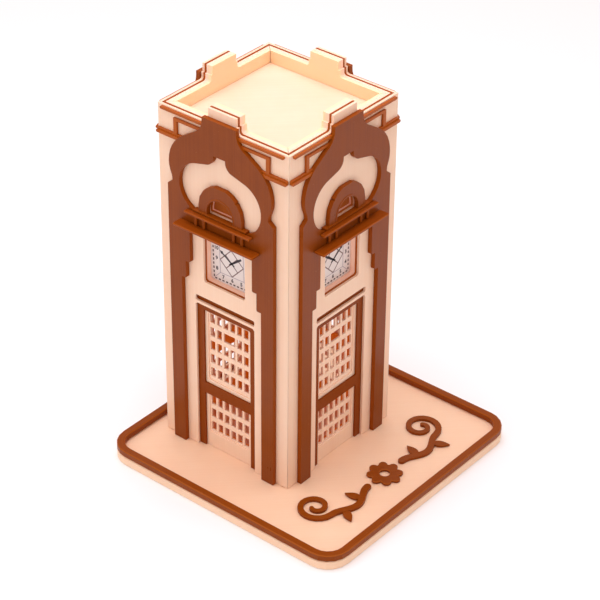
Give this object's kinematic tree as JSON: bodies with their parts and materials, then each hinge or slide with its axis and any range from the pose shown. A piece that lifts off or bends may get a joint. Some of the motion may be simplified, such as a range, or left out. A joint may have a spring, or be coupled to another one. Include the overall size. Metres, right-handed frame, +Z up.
{
  "type": "miniature clock tower",
  "caption": "Printed souvenir clock tower: square shaft of layered, mitred faces with pierced doors, curly fretwork, shelves and canopies on a rimmed plinth.",
  "frame": {"origin": "middle of the plinth's underside", "axes": "+Z up; the front of the plinth, with its wide margin, towards -Y; left and right are those of someone who looks at that front, so left is -X"},
  "size_m": [0.1, 0.1, 0.1376],
  "materials": {
    "ivory_wall": "ivory printed plastic, satin, fine layer lines",
    "ivory_sheet": "ivory printed plastic, satin, fine layer lines",
    "ivory_plate": "ivory printed plastic, satin, fine layer lines",
    "ivory_roof": "ivory printed plastic, satin, fine layer lines",
    "brown_sheet": "chocolate brown printed plastic, satin, fine layer lines",
    "brown_fret": "chocolate brown printed plastic, satin, fine layer lines",
    "brown_trim": "chocolate brown printed plastic, satin, fine layer lines",
    "brown_rim": "chocolate brown printed plastic, satin, fine layer lines",
    "brown_relief": "chocolate brown printed plastic, satin, fine layer lines",
    "dial_paper": "white printed paper card"
  },
  "bodies": {
    "root": {"plinth_plate": "ivory_plate", "plinth_rim": "brown_rim", "plinth_rosette": "brown_relief", "plinth_scroll_left": "brown_relief", "plinth_scroll_right": "brown_relief", "roof_panel": "ivory_roof", "front_inner_wall": "ivory_wall", "front_mid_sheet": "brown_sheet", "front_outer_sheet": "ivory_sheet", "front_fretwork": "brown_fret", "front_lunette": "brown_trim", "front_lunette_panel": "brown_sheet", "front_shelf": "brown_trim", "front_canopy": "brown_trim", "front_clock_card": "dial_paper", "right_inner_wall": "ivory_wall", "right_mid_sheet": "brown_sheet", "right_outer_sheet": "ivory_sheet", "right_fretwork": "brown_fret", "right_lunette": "brown_trim", "right_lunette_panel": "brown_sheet", "right_shelf": "brown_trim", "right_canopy": "brown_trim", "right_clock_card": "dial_paper", "back_inner_wall": "ivory_wall", "back_mid_sheet": "brown_sheet", "back_outer_sheet": "ivory_sheet", "back_fretwork": "brown_fret", "back_lunette": "brown_trim", "back_lunette_panel": "brown_sheet", "back_shelf": "brown_trim", "back_canopy": "brown_trim", "back_clock_card": "dial_paper", "left_inner_wall": "ivory_wall", "left_mid_sheet": "brown_sheet", "left_outer_sheet": "ivory_sheet", "left_fretwork": "brown_fret", "left_lunette": "brown_trim", "left_lunette_panel": "brown_sheet", "left_shelf": "brown_trim", "left_canopy": "brown_trim", "left_clock_card": "dial_paper"}
  },
  "joints": []
}
